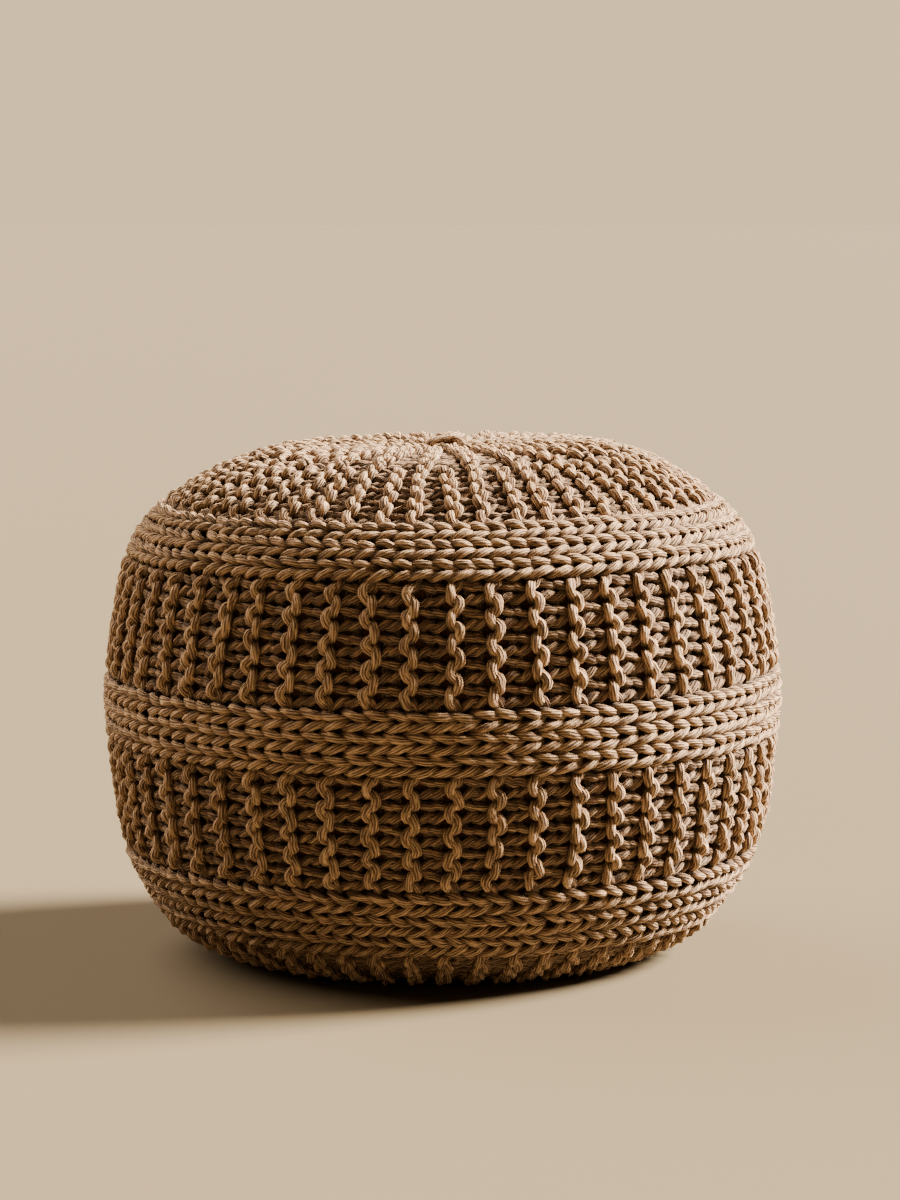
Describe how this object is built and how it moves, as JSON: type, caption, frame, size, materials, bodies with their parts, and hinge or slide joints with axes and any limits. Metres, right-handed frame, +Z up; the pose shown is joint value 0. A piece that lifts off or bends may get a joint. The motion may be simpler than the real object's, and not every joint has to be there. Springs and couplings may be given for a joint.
{
  "type": "round knitted pouf",
  "caption": "Low round floor pouf in thick knitted cord, with upright ribs between plaited bands, gathered at top and bottom, and flat where it rests.",
  "frame": {"origin": "on the floor, under the middle of the pouf's outline seen from above", "axes": "+Z up, -Y towards the side that the picture shows, +X to that side's right"},
  "size_m": [0.5068, 0.5068, 0.3826],
  "materials": {
    "camel_cord": "matt thick cotton cord, hand knitted, warm camel brown"
  },
  "bodies": {
    "root": {"knitted_pouf": "camel_cord"}
  },
  "joints": []
}
